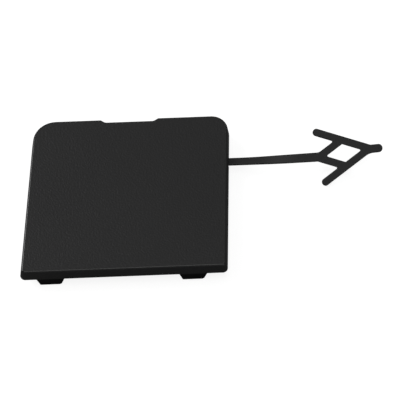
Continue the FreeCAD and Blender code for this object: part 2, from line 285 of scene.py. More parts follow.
# %% [markdown]
# ## Ribs behind the panel
#
# Thin ribs stiffen the panel without a sink mark on its face, so they are half its thickness. Each is
# a straight bar whose section has a small radius at its free edge and a flare at its root, where the
# steel of the mould is rounded. The bar is drawn once in section and pulled along its length. Its foot
# reaches OVERLAP into the panel and its ends into the skirt's wall, because a union of forms that only
# touch may leave a crack.

# %% Where the panel's sides stand
def left_rim(y):
    """Where the rim's outer left edge stands at the height y up the panel."""
    share = (y - LOW_EDGE) / RIM_HEIGHT
    return -RIM_WIDTH_LOW / 2 + share * (RIM_LEAN + (RIM_WIDTH_LOW - RIM_WIDTH_HIGH) / 2)


def right_rim(y):
    """Where the rim's outer right edge stands at the height y up the panel."""
    share = (y - LOW_EDGE) / RIM_HEIGHT
    return RIM_WIDTH_LOW / 2 + share * (RIM_LEAN - (RIM_WIDTH_LOW - RIM_WIDTH_HIGH) / 2)


half_way = HIGH_EDGE / 2
print("half way up the sides stand at", round(left_rim(half_way), 1), round(right_rim(half_way), 1))

# %% A bar with a flared root
RIB = 1.2
RIB_HEIGHT = 1.6
RIB_TIP_RADIUS = 0.35
RIB_FLARE = 0.5
SINK = 0.01
CRISP = 0.05
RIB_ARC_STEPS = 4


def between(start, end, across):
    """Turns a form drawn in a plane so that its thickness runs from start to end, and its x lies across."""
    along = (end - start).normalized()
    upward = along.cross(across)
    turned = Matrix((across, upward, along)).transposed().to_4x4()
    turned.translation = start
    return turned


def bar(name, start, end):
    """A rib from start to end on the panel's back, with a rounded free edge and a flared root."""
    half = RIB / 2
    foot = half + RIB_FLARE + OVERLAP
    corners = [
        (Vector((-foot, OVERLAP)), CRISP),
        (Vector((-foot, SINK)), CRISP),
        (Vector((-half, SINK)), RIB_FLARE),
        (Vector((-half, -RIB_HEIGHT)), RIB_TIP_RADIUS),
        (Vector((half, -RIB_HEIGHT)), RIB_TIP_RADIUS),
        (Vector((half, SINK)), RIB_FLARE),
        (Vector((foot, SINK)), CRISP),
        (Vector((foot, OVERLAP)), CRISP),
    ]
    along = (end - start).normalized()
    across = along.cross(Vector((0, 0, -1)))
    rings = [ring(corners, z, RIB_ARC_STEPS) for z in (0.0, (end - start).length)]
    return skin(name, rings, SATIN, between(start, end, across))


print("a rib is", RIB, "mm thick, the panel", PLATE, "mm")

# %% Four ribs
LUG_LEFT = -28.8
LUG_RIGHT = 27.2
STRAP_ALONG = 49.2
CROSS_RIB_LOW = 22.0
RIB_END = 1.2

rib_top = HIGH_EDGE - RIB_END
ribs = []
for name, x in (("rib_left", LUG_LEFT), ("rib_right", LUG_RIGHT)):
    ribs.append(bar(name, Vector((x, LOW_EDGE + RIB_END, BACK)), Vector((x, rib_top, BACK))))
for name, y in (("rib_low", CROSS_RIB_LOW), ("rib_strap", STRAP_ALONG)):
    start = Vector((left_rim(y) + RIB_END, y, BACK))
    end = Vector((right_rim(y) - RIB_END, y, BACK))
    ribs.append(bar(name, start, end))
print(len(ribs), "ribs")

# %% [markdown]
# ## Plates with rounded edges
#
# Lugs, gussets, latch, post and arrow are all flat plates cut to an outline. A block with a bevel
# modifier would do for one of them, but where an outline turns inward a bevel tends to fold over
# itself. Here a plate is a few rings on each side. They start drawn in by the edge radius and swing
# out round a quarter circle, so any outline gets a clean rounded edge. `corner_list` writes an outline
# as x, y and radius. Corners that end inside another form have the radius HIDDEN.

# %% Rounded plates
PLATE_EDGE = 0.25
PLATE_EDGE_STEPS = 4
PLATE_ARC_STEPS = 8
HIDDEN = 0.1


def corner_list(*rows):
    """Corners and their radii from rows of x, y, radius."""
    return [(Vector((x, y)), radius) for x, y, radius in rows]


def plate_rings(corners, thickness, edge=PLATE_EDGE):
    """Rings of a plate that starts at z = 0 and has its edges rounded on both sides."""
    quarter = [math.pi / 2 * step / PLATE_EDGE_STEPS for step in range(PLATE_EDGE_STEPS + 1)]
    lower = [(-edge * (1 - math.sin(a)), edge * (1 - math.cos(a))) for a in quarter]
    upper = [(across, thickness - height) for across, height in reversed(lower)]
    profile = lower + upper
    return [ring(grown(corners, across), height, PLATE_ARC_STEPS) for across, height in profile]


print("a plate has", len(plate_rings(square, 1.0)), "rings")

# %% Standing a plate in its place
def placed(origin, x_axis, y_axis):
    """Puts a form drawn in the plane z = 0 at origin, with its x and y along the given directions."""
    matrix = Matrix((x_axis, y_axis, x_axis.cross(y_axis))).transposed().to_4x4()
    matrix.translation = origin
    return matrix


X_AXIS = Vector((1, 0, 0))
Y_AXIS = Vector((0, 1, 0))
Z_AXIS = Vector((0, 0, 1))
standing = placed(Vector((0, 0, 0)), X_AXIS, Z_AXIS)
print("a plate drawn in x and z gets its thickness along", tuple(standing.col[2])[:3])

# %% [markdown]
# ## Hooking lugs
#
# Each lug is a tapered tongue below the rim that goes in behind the bumper's skin first. It stands on
# a collar inside the skirt, and two gussets behind it carry the load into the panel. The tongue is
# drawn from the front and given its thickness backward; the gussets are drawn from the side.

# %% Sizes of the lugs
LUG_WIDTH = 11.3
LUG_REACH = 4.9
LUG_THICKNESS = 2.4
LUG_INSET = 0.3
LUG_SIDE_TAPER = 1.5
LUG_LEFT_RADIUS = 0.5
LUG_RIGHT_RADIUS = 1.3
LUG_ROOT = 1.5
LUG_BEND = 0.3
GUSSET = 1.2
GUSSET_SPACING = 5.4
GUSSET_REACH = 6.0
GUSSET_FOOT = 1.0
GUSSET_RADIUS = 0.4
COLLAR_START = 0.1
COLLAR_INSET = 0.2

lug_back = LOW_EDGE + LUG_INSET + LUG_THICKNESS
print("lugs reach", LUG_REACH, "mm behind the rim")

# %% Lugs, collars and gussets
def lug(name, x):
    """One lug with its collar and gussets, as forms that overlap."""
    half = LUG_WIDTH / 2
    foot = half - LUG_SIDE_TAPER
    tongue = corner_list(
        (-foot, -LUG_REACH, LUG_LEFT_RADIUS),
        (foot, -LUG_REACH, LUG_RIGHT_RADIUS),
        (half, 0, LUG_BEND),
        (half, LUG_ROOT, HIDDEN),
        (-half, LUG_ROOT, HIDDEN),
        (-half, 0, LUG_BEND),
    )
    collar = corner_list(
        (-half, COLLAR_START, HIDDEN),
        (half, COLLAR_START, HIDDEN),
        (half, BACK + OVERLAP, HIDDEN),
        (-half, BACK + OVERLAP, HIDDEN),
    )
    gusset = corner_list(
        (lug_back - OVERLAP, -LUG_REACH + GUSSET_FOOT, HIDDEN),
        (lug_back, -LUG_REACH + GUSSET_FOOT, GUSSET_RADIUS),
        (lug_back + GUSSET_REACH, BACK, HIDDEN),
        (lug_back + GUSSET_REACH, BACK + OVERLAP, HIDDEN),
        (lug_back - OVERLAP, BACK + OVERLAP, HIDDEN),
    )
    front = placed(Vector((x, lug_back, 0)), X_AXIS, Z_AXIS)
    # All lug forms take the painted shade slot: a blacker material for the shade under the panel's edge.
    forms = [skin(name + "_tongue", plate_rings(tongue, LUG_THICKNESS), PAINTED_SHADE, front)]
    inside = placed(Vector((x, lug_back - SINK, 0)), X_AXIS, Z_AXIS)
    forms.append(skin(name + "_collar", plate_rings(collar, lug_back - COLLAR_INSET), PAINTED_SHADE, inside))
    for side in (-1, 1):
        start = x + side * GUSSET_SPACING / 2 - GUSSET / 2
        stand = placed(Vector((start, 0, 0)), Y_AXIS, Z_AXIS)
        forms.append(skin(name + "_gusset", plate_rings(gusset, GUSSET), PAINTED_SHADE, stand))
    return forms


lugs = lug("lug_left", LUG_LEFT) + lug("lug_right", LUG_RIGHT)
print(len(lugs), "lug forms")

# %% [markdown]
# ## Snap latch
#
# The latch stands behind the pry notch. Its tongue bends inward when the cover is pushed home and the
# catch springs out behind the bumper's skin. Seen from the side it is one outline, with a long ramp
# and a flat step, and the two ribs at its root keep it from bending where it would break.

# %% Sizes of the latch
LATCH_WIDTH = 14.0
LATCH_THICKNESS = 1.6
LATCH_GAP = 1.5
LATCH_REACH = LUG_REACH
CATCH_GAP = 2.6
CATCH = 1.5
LATCH_TIP = 0.5
LATCH_RIB_REACH = 3.0
LATCH_EDGE = 0.12

skirt_inside = HIGH_EDGE - NOTCH_DEPTH - WALL
latch_out = skirt_inside - LATCH_GAP
latch_in = latch_out - LATCH_THICKNESS
print("latch reaches", round(latch_out + CATCH, 2), "mm up the panel")

# %% Latch and its root ribs
tongue_corners = corner_list(
    (latch_in, BACK + OVERLAP, HIDDEN),
    (latch_in, -LATCH_REACH, 0.4),
    (latch_out, -LATCH_REACH, 0.15),
    (latch_out, -LATCH_REACH + LATCH_TIP, 0.3),
    (latch_out + CATCH, -CATCH_GAP - LATCH_TIP, 0.2),
    (latch_out + CATCH, -CATCH_GAP, 0.12),
    (latch_out, -CATCH_GAP, 0.2),
    (latch_out, BACK + OVERLAP, HIDDEN),
)
root_rib_corners = corner_list(
    (latch_in - LATCH_RIB_REACH, BACK + OVERLAP, HIDDEN),
    (latch_in - LATCH_RIB_REACH, BACK, HIDDEN),
    (latch_in, BACK - LATCH_RIB_REACH, 0.3),
    (latch_in + OVERLAP, BACK - LATCH_RIB_REACH, HIDDEN),
    (latch_in + OVERLAP, BACK + OVERLAP, HIDDEN),
)
latch_start = NOTCH_MIDDLE - LATCH_WIDTH / 2
tongue_place = placed(Vector((latch_start, 0, 0)), Y_AXIS, Z_AXIS)
tongue_rings = plate_rings(tongue_corners, LATCH_WIDTH, LATCH_EDGE)
latch = [skin("latch_tongue", tongue_rings, SATIN, tongue_place)]
for start in (latch_start + SINK, latch_start + LATCH_WIDTH - RIB - SINK):
    rib_place = placed(Vector((start, 0, 0)), Y_AXIS, Z_AXIS)
    latch.append(skin("latch_rib", plate_rings(root_rib_corners, RIB), SATIN, rib_place))
print(len(latch), "latch forms")

# %% [markdown]
# ## The arrow-shaped anchor
#
# The anchor is pushed through a slot in the bumper: its two barbs fold back on the way in and spring
# out behind. It is one flat plate with a diamond window, drawn in its own plane with its length along
# x. The arms meet the strap and the tip in small fillets. The outline comes from where the arms'
# straight edges cross, so a wider arm or another angle needs one number and no redrawing. Then the
# whole plate is turned a little about its length, as the twisted strap holds it.

# %% Sizes of strap and anchor
STRAP_THICKNESS = 1.2
STRAP_EDGE_RADIUS = 0.35
STRAP_WIDTH_ROOT = 3.2
STRAP_WIDTH_END = 3.7
STRAP_OVER_SEAT = 0.1
STRAP_STRAIGHT_LENGTH = 4.0
STRAP_INTO_ARROW = 0.02
STRAP_STOP = 0.5
POST_FROM_SKIRT = 2.0
ARROW_MIDDLE = Vector((RIM_WIDTH_LOW / 2 + 49.5, 50.7, 1.8))
ARROW_TURN = math.radians(26)
ARROW_SWING = math.radians(8.2)
ARM_WIDTH = 3.05
ARM_ANGLE = math.radians(27)
WINDOW_HALF_LENGTH = 7.25
WINDOW_RADIUS = 0.4
WINDOW_EDGE = 0.08
WINDOW_EDGE_STEPS = 3
BARB_OFFSET = 9.4
TIP_LENGTH = 8.6
TIP_WIDTH = 3.4
TIP_DROOP = math.radians(4.3)
JOIN_OFFSET = 8.2
JOIN_ANGLE = math.radians(6.6)
STUB_LENGTH = 0.3
INNER_FILLET = 0.4
STRAP_FILLET_ABOVE = 2.7
STRAP_FILLET_BELOW = 1.2
TIP_FILLET_ABOVE = 2.0
TIP_FILLET_BELOW = 6.0
END_ROUNDING = 0.48
ABOVE, BELOW = 1, -1

arm_shift = ARM_WIDTH / math.sin(ARM_ANGLE)
rear_corner = WINDOW_HALF_LENGTH + arm_shift
join_length = (rear_corner - JOIN_OFFSET) * math.cos(JOIN_ANGLE) + STUB_LENGTH
print("the arms' outer edges cross", round(rear_corner, 2), "mm from the window's middle")

# %% Lines in the anchor's plane
def crossing(p, u, q, v):
    """The point where the line through p along u meets the line through q along v."""
    span = q - p
    return p + u * ((span.x * v.y - span.y * v.x) / (u.x * v.y - u.y * v.x))


def pointing_down(angle):
    """A direction in the arrow's plane, below the arrow's length by that angle."""
    return Vector((math.cos(angle), -math.sin(angle)))


def beside(direction, distance):
    """The step that far to the left of a direction in the arrow's plane."""
    return Vector((-direction.y, direction.x)) * distance


meeting = crossing(Vector((0, 0)), pointing_down(ARM_ANGLE), Vector((1, 0)), Vector((0, 1)))
print("an arm falls", round(-meeting.y, 2), "mm for each millimetre of the arrow's length")

# %% Half of the anchor's outline
def arrow_half(side):
    """Corners ABOVE or BELOW the arrow's middle line, from the strap to the tip."""
    leading = pointing_down(side * ARM_ANGLE)
    trailing = pointing_down(-side * ARM_ANGLE)
    window_front = Vector((WINDOW_HALF_LENGTH, 0))
    front = Vector((rear_corner, 0))
    rear = -front
    cap_middle = (window_front + front) / 2
    cap_middle = cap_middle - leading * ((cap_middle.x + BARB_OFFSET) / leading.x)
    cap_end = cap_middle - leading * (ARM_WIDTH / 2)
    cap_line = beside(leading, 1.0)
    strap_line = pointing_down(JOIN_ANGLE)
    strap_side = Vector((-JOIN_OFFSET, 0)) + beside(strap_line, side * STRAP_WIDTH_END / 2)
    tip_line = pointing_down(TIP_DROOP)
    tip_side = window_front + beside(tip_line, side * TIP_WIDTH / 2)
    cap_radius = END_ROUNDING * ARM_WIDTH
    strap_fillet = STRAP_FILLET_ABOVE if side == ABOVE else STRAP_FILLET_BELOW
    tip_fillet = TIP_FILLET_ABOVE if side == ABOVE else TIP_FILLET_BELOW
    return [
        (strap_side - strap_line * join_length, HAIR_RADIUS),
        (crossing(strap_side, strap_line, rear, trailing), strap_fillet),
        (crossing(rear, trailing, window_front, leading), INNER_FILLET),
        (crossing(window_front, leading, cap_end, cap_line), cap_radius),
        (crossing(front, leading, cap_end, cap_line), cap_radius),
        (crossing(front, leading, tip_side, tip_line), tip_fillet),
        (tip_side + tip_line * TIP_LENGTH, END_ROUNDING * TIP_WIDTH),
    ]


print("half of the arrow has", len(arrow_half(ABOVE)), "corners")

# %% Outline of the anchor and its window
arrow_corners = arrow_half(BELOW) + arrow_half(ABOVE)[::-1]
window_half_height = WINDOW_HALF_LENGTH * math.tan(ARM_ANGLE)
window_corners = corner_list(
    (-WINDOW_HALF_LENGTH, 0, WINDOW_RADIUS),
    (0, -window_half_height, WINDOW_RADIUS),
    (WINDOW_HALF_LENGTH, 0, WINDOW_RADIUS),
    (0, window_half_height, WINDOW_RADIUS),
)
print("window", round(2 * WINDOW_HALF_LENGTH, 1), "x", round(2 * window_half_height, 1), "mm")

# %% The anchor's plate, and the cutter for its window
rising = Vector((0, math.cos(ARROW_TURN), math.sin(ARROW_TURN)))
arrow_along = X_AXIS * math.cos(ARROW_SWING) + rising * math.sin(ARROW_SWING)
arrow_across = rising * math.cos(ARROW_SWING) - X_AXIS * math.sin(ARROW_SWING)
arrow_normal = arrow_along.cross(arrow_across)
arrow_place = placed(ARROW_MIDDLE - arrow_normal * STRAP_THICKNESS / 2, arrow_along, arrow_across)


def window_rings(corners, thickness, edge):
    """Rings of a cutter that widens at both ends, so that it leaves a slightly broken rim behind."""
    quarter = [math.pi / 2 * step / WINDOW_EDGE_STEPS for step in range(WINDOW_EDGE_STEPS + 1)]
    lower = [(edge * (1 - math.sin(a)), edge * (1 - math.cos(a))) for a in quarter]
    upper = [(across, thickness - height) for across, height in reversed(lower)]
    profile = [(edge, -edge)] + lower + upper + [(edge, thickness + edge)]
    return [ring(grown(corners, across), height, PLATE_ARC_STEPS) for across, height in profile]


arrow_rings = plate_rings(arrow_corners, STRAP_THICKNESS, STRAP_EDGE_RADIUS)
arrow = skin("anchor_arrow", arrow_rings, SATIN, arrow_place)
window_form = window_rings(window_corners, STRAP_THICKNESS, WINDOW_EDGE)
window = skin("anchor_window", window_form, SATIN, arrow_place)
print("anchor", len(arrow.data.vertices), "points")

# %% [markdown]
# ## The strap and its twist
#
# The strap leaves the cover flat and arrives at the anchor turned by about 26 degrees, so it twists on
# the way. A curve object with tilt could do it, but its section is hard to taper and to end exactly on
# the anchor. Instead one rounded section is carried along a smooth line and turned by a share that
# eases in and out, and the rings are skinned like everything else.

# %% Where the strap starts and arrives
strap_level = STRAP_OVER_SEAT + STRAP_THICKNESS / 2
straight_end = Vector((right_rim(STRAP_ALONG) + STRAP_STRAIGHT_LENGTH, STRAP_ALONG, strap_level))
inside_length = WALL + POST_FROM_SKIRT + 2 * OVERLAP
straight_start = straight_end - X_AXIS * (STRAP_STRAIGHT_LENGTH + inside_length)
join_line = pointing_down(JOIN_ANGLE)
join_side = beside(join_line, 1.0)
heading = arrow_along * join_line.x + arrow_across * join_line.y
sideways = arrow_along * join_side.x + arrow_across * join_side.y
arrival = ARROW_MIDDLE - arrow_along * JOIN_OFFSET - heading * join_length
print("the strap bends from", round(straight_end.x, 1), "to", round(arrival.x, 1), "mm along x")

# %% The strap's line
STRAP_STEPS = 48
STRAP_ARC_STEPS = 5

pull = (arrival - straight_end).length / 3
controls = [straight_end, straight_end + X_AXIS * pull, arrival - heading * pull, arrival]


def along_curve(share):
    """Point and direction on the cubic Bezier line through the control points."""
    a, b, c, d = controls
    rest = 1 - share
    point = a * rest**3 + b * 3 * rest**2 * share + c * 3 * rest * share**2 + d * share**3
    run = (b - a) * rest**2 + (c - b) * 2 * rest * share + (d - c) * share**2
    return point, run.normalized()


line = [along_curve(step / STRAP_STEPS)[0] for step in range(STRAP_STEPS + 1)]
line_length = sum((after - before).length for before, after in zip(line, line[1:]))
print("strap runs", round(line_length, 1), "mm from its straight root to the anchor")

# %% Sections of the strap
def strap_ring(point, forward, side, width, spare=0.0):
    """The strap's rounded section at a point, across the direction forward."""
    half = width / 2 - spare
    depth = STRAP_THICKNESS / 2 - spare
    radius = STRAP_EDGE_RADIUS
    corners = corner_list(
        (-half, -depth, radius),
        (half, -depth, radius),
        (half, depth, radius),
        (-half, depth, radius),
    )
    across = (side - forward * side.dot(forward)).normalized()
    upward = forward.cross(across)
    return [point + across * p.x + upward * p.y for p in ring(corners, 0.0, STRAP_ARC_STEPS)]


strap_rings = [strap_ring(straight_start, X_AXIS, Y_AXIS, STRAP_WIDTH_ROOT)]
for step in range(STRAP_STEPS + 1):
    share = step / STRAP_STEPS
    eased = share * share * (3 - 2 * share)
    point, forward = along_curve(share)
    width = STRAP_WIDTH_ROOT + (STRAP_WIDTH_END - STRAP_WIDTH_ROOT) * eased
    side = Y_AXIS * (1 - eased) + sideways * eased
    strap_rings.append(strap_ring(point, forward, side, width, STRAP_INTO_ARROW * eased))
inside_arrow = arrival + heading * (join_length - STRAP_STOP)
strap_rings.append(strap_ring(inside_arrow, heading, sideways, STRAP_WIDTH_END, STRAP_INTO_ARROW))
strap = skin("tether_strap", strap_rings)
print("strap", len(strap.data.vertices), "points")

# %% [markdown]
# ## Post and slot
#
# Behind the panel the strap grows out of a short post, and it leaves through a slot in the skirt that
# is open at the rim, so the mould needs no slide. The post is another rounded plate, stood on the
# panel's back. The slot is a cutter with two rounded upper corners.

# %% Post
POST_LENGTH = 7.0
POST_WIDTH = 5.4
POST_RADIUS = 0.5

post_end = right_rim(STRAP_ALONG) - WALL - POST_FROM_SKIRT
post_corners = corner_list(
    (-POST_LENGTH, -POST_WIDTH / 2, POST_RADIUS),
    (0, -POST_WIDTH / 2, POST_RADIUS),
    (0, POST_WIDTH / 2, POST_RADIUS),
    (-POST_LENGTH, POST_WIDTH / 2, POST_RADIUS),
)
post_place = placed(Vector((post_end, STRAP_ALONG, STRAP_OVER_SEAT)), X_AXIS, Y_AXIS)
post_rings = plate_rings(post_corners, BACK + OVERLAP - STRAP_OVER_SEAT)
post = skin("strap_post", post_rings, SATIN, post_place)
print("post ends", round(post_end, 2), "mm from the middle")

# %% Slot
SLOT_CLEARANCE = 0.5
SLOT_RADIUS = 0.4
SLOT_ARC_STEPS = 5
BELOW_RIM = -1.0

slot_half = STRAP_WIDTH_ROOT / 2 + SLOT_CLEARANCE
slot_top = STRAP_OVER_SEAT + STRAP_THICKNESS + SLOT_CLEARANCE
slot_corners = corner_list(
    (-slot_half, BELOW_RIM, CRISP),
    (slot_half, BELOW_RIM, CRISP),
    (slot_half, slot_top, SLOT_RADIUS),
    (-slot_half, slot_top, SLOT_RADIUS),
)
slot_length = 2 * WALL + POST_FROM_SKIRT
slot_rings = [ring(slot_corners, z, SLOT_ARC_STEPS) for z in (0.0, slot_length)]
slot_place = placed(Vector((post_end, STRAP_ALONG, 0)), Y_AXIS, Z_AXIS)
slot_cutter = skin("strap_slot", slot_rings, SATIN, slot_place)
print("slot", round(2 * slot_half, 2), "x", round(slot_top, 2), "mm")

# %% [markdown]
# ## Marks that the mould leaves behind
#
# Pins push the cover out of its mould, near the ribs, lugs and latch that hold it back. Each leaves a
# shallow round mark on the back. The plastic came in through a gate, and a small stub stays where that
# was sheared off. Bump could draw them, but real edges catch the light better. So a mark is a disc cut
# a tenth of a millimetre into the panel, and the stub is a small rounded plate.

# %% Blocks with round corners
def rounded_block(half_length, half_width, radius):
    """Corners of a rectangle round the origin. A radius of half its width makes round ends."""
    return corner_list(
        (-half_length, -half_width, radius),
        (half_length, -half_width, radius),
        (half_length, half_width, radius),
        (-half_length, half_width, radius),
    )


print("a round block has", len(ring(rounded_block(1.0, 1.0, 1.0))), "points")

# %% Ejector marks
PIN_RADIUS = 2.0
PIN_DEPTH = 0.12
PIN_LENGTH = 1.0

pin_places = [
    (LUG_LEFT + 6, 13),
    (LUG_RIGHT - 6, 13),
    (LUG_LEFT + 6, STRAP_ALONG - 6),
    (LUG_RIGHT - 6, STRAP_ALONG - 6),
    (NOTCH_MIDDLE - 11, 59),
    (NOTCH_MIDDLE + 11, 59),
]
pin_corners = rounded_block(PIN_RADIUS, PIN_RADIUS, PIN_RADIUS)
pin_rings = [ring(pin_corners, z, PLATE_ARC_STEPS) for z in (0.0, PIN_LENGTH)]
pins = []
for x, y in pin_places:
    pin_place = placed(Vector((x, y, BACK + PIN_DEPTH - PIN_LENGTH)), X_AXIS, Y_AXIS)
    pins.append(skin("ejector_pin", pin_rings, SATIN, pin_place))
print(len(pins), "ejector marks")

# %% Gate stub
GATE_LENGTH = 2.6
GATE_WIDTH = 1.4
GATE_HEIGHT = 0.3
GATE_RADIUS = GATE_WIDTH / 2 - 0.05
GATE_EDGE = 0.08
GATE_ACROSS = NOTCH_MIDDLE - 8
GATE_ALONG = 6

gate_corners = rounded_block(GATE_LENGTH / 2, GATE_WIDTH / 2, GATE_RADIUS)
gate_place = placed(Vector((GATE_ACROSS, GATE_ALONG, BACK - GATE_HEIGHT)), X_AXIS, Y_AXIS)
gate = skin("gate_stub", plate_rings(gate_corners, GATE_HEIGHT + OVERLAP, GATE_EDGE), SATIN, gate_place)
print("gate stub", GATE_LENGTH, "x", GATE_WIDTH, "mm")

# %% [markdown]
# ## One moulding
#
# The real cover is one shot of plastic, so the forms become one mesh. Boolean modifiers do this: ribs
# are joined first, then the slot and the marks are cut, and the forms that pass through the slot or
# stand on the panel are joined last. Each modifier is applied at once and its operand removed, which
# keeps the scene to a single piece.

# %% Join and cut
def combine(body, other, operation):
    """Applies one boolean to body and removes the other form."""
    step = body.modifiers.new(operation.lower(), "BOOLEAN")
    step.object = other
    step.operation = operation
    step.solver = "MANIFOLD"
    bpy.context.view_layer.update()
    result = bpy.data.meshes.new_from_object(body.evaluated_get(bpy.context.evaluated_depsgraph_get()))
    body.modifiers.remove(step)
    old = body.data
    body.data = result
    bpy.data.meshes.remove(old)
    bpy.data.objects.remove(other)


combine(arrow, window, "DIFFERENCE")
print("arrow with its window", len(arrow.data.vertices), "points")

# %% One skin from all forms
for rib in ribs:
    combine(moulding, rib, "UNION")
for cutter in pins + [slot_cutter]:
    combine(moulding, cutter, "DIFFERENCE")
for form in lugs + latch + [gate, post, strap, arrow]:
    combine(moulding, form, "UNION")
moulding.data.name = "cover_moulding"
print("moulding", len(moulding.data.vertices), "points,", len(moulding.data.polygons), "faces")

# %% [markdown]
# ## Cleaning and shading the skin
#
# A boolean leaves some points that only divide a straight edge, and the exporter would make slivers of
# them, so they are dissolved. An edge with one face, or with three, would be a hole or a fold. Then
# the faces are shaded smooth, apart from edges sharper than 35 degrees. A Weighted Normal modifier
# lets the large flat faces lead, so that the small roundings turn and the flats stay flat.

# %% Clean the skin
STRAIGHT = math.radians(179.5)
TINY = 0.001 * MM


def in_line(point):
    """Whether a point only divides a straight edge between two faces."""
    if len(point.link_edges) != 2:
        return False
    one, other = [edge.other_vert(point).co - point.co for edge in point.link_edges]
    return one.angle(other) > STRAIGHT


body = bmesh.new()
body.from_mesh(moulding.data)
bmesh.ops.dissolve_degenerate(body, dist=TINY, edges=body.edges)
spare = [point for point in body.verts if in_line(point)]
bmesh.ops.dissolve_verts(body, verts=spare)
open_edges = [edge for edge in body.edges if len(edge.link_faces) != 2]
volume = body.calc_volume(signed=True)
body.to_mesh(moulding.data)
body.free()
print("spare points", len(spare), "open edges", len(open_edges), "volume", round(volume * 1e9), "mm3")

# %% Shade the skin
SHARP_ANGLE = math.radians(35)
FLAT_FACES_LEAD = 100

for face in moulding.data.polygons:
    face.use_smooth = True
moulding.data.set_sharp_from_angle(angle=SHARP_ANGLE)
weighted = moulding.modifiers.new("weighted_normals", "WEIGHTED_NORMAL")
weighted.keep_sharp = True
weighted.weight = FLAT_FACES_LEAD
print("sharp edges", sum(edge.use_edge_sharp for edge in moulding.data.edges))

# %% [markdown]
# ## Black plastic with a moulded grain
#
# The pigment is carbon black, so almost no light comes out of the body, and nearly all that is seen is
# the broken gloss of the surface. An image of grain would need unwrapping and would repeat. Noise in
# object space has neither fault and keeps its real size. One noise raises the grain, and a far larger
# one makes the gloss wander by a few hundredths, as it does on any real moulding.

# %% A finish from its colour, gloss and grain
PLASTIC_IOR = 1.49
GRAIN_DETAIL = 2.0
GRAIN_ROUGHNESS = 0.55
DRIFT_PER_METRE = 45.0
DRIFT_DETAIL = 3.0


def plastic(material, colour, shine, roughness, grain_size, grain_depth, gloss_drift):
    """Black moulded plastic with a grain of a given size and depth in millimetres."""
    material.use_nodes = True
    nodes = material.node_tree.nodes
    links = material.node_tree.links
    surface = nodes["Principled BSDF"]
    surface.inputs["Base Color"].default_value = (*colour, 1)
    surface.inputs["IOR"].default_value = PLASTIC_IOR
    surface.inputs["Specular IOR Level"].default_value = shine
    place = nodes.new("ShaderNodeTexCoord")

    grain = nodes.new("ShaderNodeTexNoise")
    grain.inputs["Scale"].default_value = 1 / (grain_size * MM)
    grain.inputs["Detail"].default_value = GRAIN_DETAIL
    grain.inputs["Roughness"].default_value = GRAIN_ROUGHNESS
    bump = nodes.new("ShaderNodeBump")
    bump.inputs["Distance"].default_value = grain_depth * MM
    bump.inputs["Strength"].default_value = 1.0
    links.new(place.outputs["Object"], grain.inputs["Vector"])
    links.new(grain.outputs["Fac"], bump.inputs["Height"])
    links.new(bump.outputs["Normal"], surface.inputs["Normal"])

    drift = nodes.new("ShaderNodeTexNoise")
    drift.inputs["Scale"].default_value = DRIFT_PER_METRE
    drift.inputs["Detail"].default_value = DRIFT_DETAIL
    gloss = nodes.new("ShaderNodeMapRange")
    gloss.inputs["To Min"].default_value = roughness - gloss_drift
    gloss.inputs["To Max"].default_value = roughness + gloss_drift
    links.new(place.outputs["Object"], drift.inputs["Vector"])
    links.new(drift.outputs["Fac"], gloss.inputs["Value"])
    links.new(gloss.outputs["Result"], surface.inputs["Roughness"])
    print(material.name, "roughness", roughness, "grain", grain_size, "x", grain_depth, "mm")


print("the gloss wanders over about", round(1000 / DRIFT_PER_METRE), "mm")

# %% [markdown]
# ## Three finishes of one plastic, and painted shade on the lugs
#
# The mould gives one plastic three skins. The outside has an etched grain, pits and islands under a
# millimetre wide and a few hundredths of a millimetre deep. The back, the strap and the anchor are
# left satin by plain machined steel, and the line round the face is polished, so that it catches the
# light. The lugs stand in the shade under the panel's edge, and more shade is painted into them than
# the lamps give: a blacker colour and less shine, so they return the least light. Only the grained and
# satin skins scatter enough light to look grey-black; the other two are written blacker.

# %% Grained, satin, polished, and the lugs' painted shade
GREY_BLACK = (0.0095, 0.0095, 0.0097)
DEEP_BLACK = (0.003, 0.003, 0.0031)
SHINE = 0.36
FULL_SHINE = 0.5
PAINTED_SHADE_SHINE = 0.1

plastic(grained, GREY_BLACK, SHINE, roughness=0.42, grain_size=0.75, grain_depth=0.16, gloss_drift=0.05)
plastic(satin, GREY_BLACK, SHINE, roughness=0.43, grain_size=0.6, grain_depth=0.03, gloss_drift=0.05)
plastic(polished, DEEP_BLACK, FULL_SHINE, roughness=0.2, grain_size=0.6, grain_depth=0.003, gloss_drift=0.03)
# Painted shade on the lugs: a blacker colour and less shine in place of the shade under the panel's edge.
plastic(painted_shade_lugs, DEEP_BLACK, PAINTED_SHADE_SHINE, roughness=0.5, grain_size=0.6, grain_depth=0.003, gloss_drift=0.03)

# %% [markdown]
# ## Floor
#
# The picture is a catalogue picture on white. The floor is white only to the camera. For every other
# ray it is a dim grey one, or its light from below would turn the dark skirt grey, and no part here is
# metal or glass that needs to mirror the white. What the camera sees is a glow with some real diffuse
# paint added, and the paint is what carries the object's shadow.

# %% Floor
REST_LEVEL = -LUG_REACH
FLOOR_HALF = 4.0
floor_mesh = bpy.data.meshes.new("floor")
floor_corners = [(-1, -1), (1, -1), (1, 1), (-1, 1)]
floor_points = [(FLOOR_HALF * x, FLOOR_HALF * y, REST_LEVEL * MM) for x, y in floor_corners]
floor_mesh.from_pydata(floor_points, [], [(0, 1, 2, 3)])
floor = bpy.data.objects.new("floor", floor_mesh)
bpy.context.scene.collection.objects.link(floor)
print("floor at", REST_LEVEL, "mm")

# %% Floor paint
FLOOR_GLOW = 0.85
FLOOR_PAINT = 0.35
FLOOR_DIM = 0.2

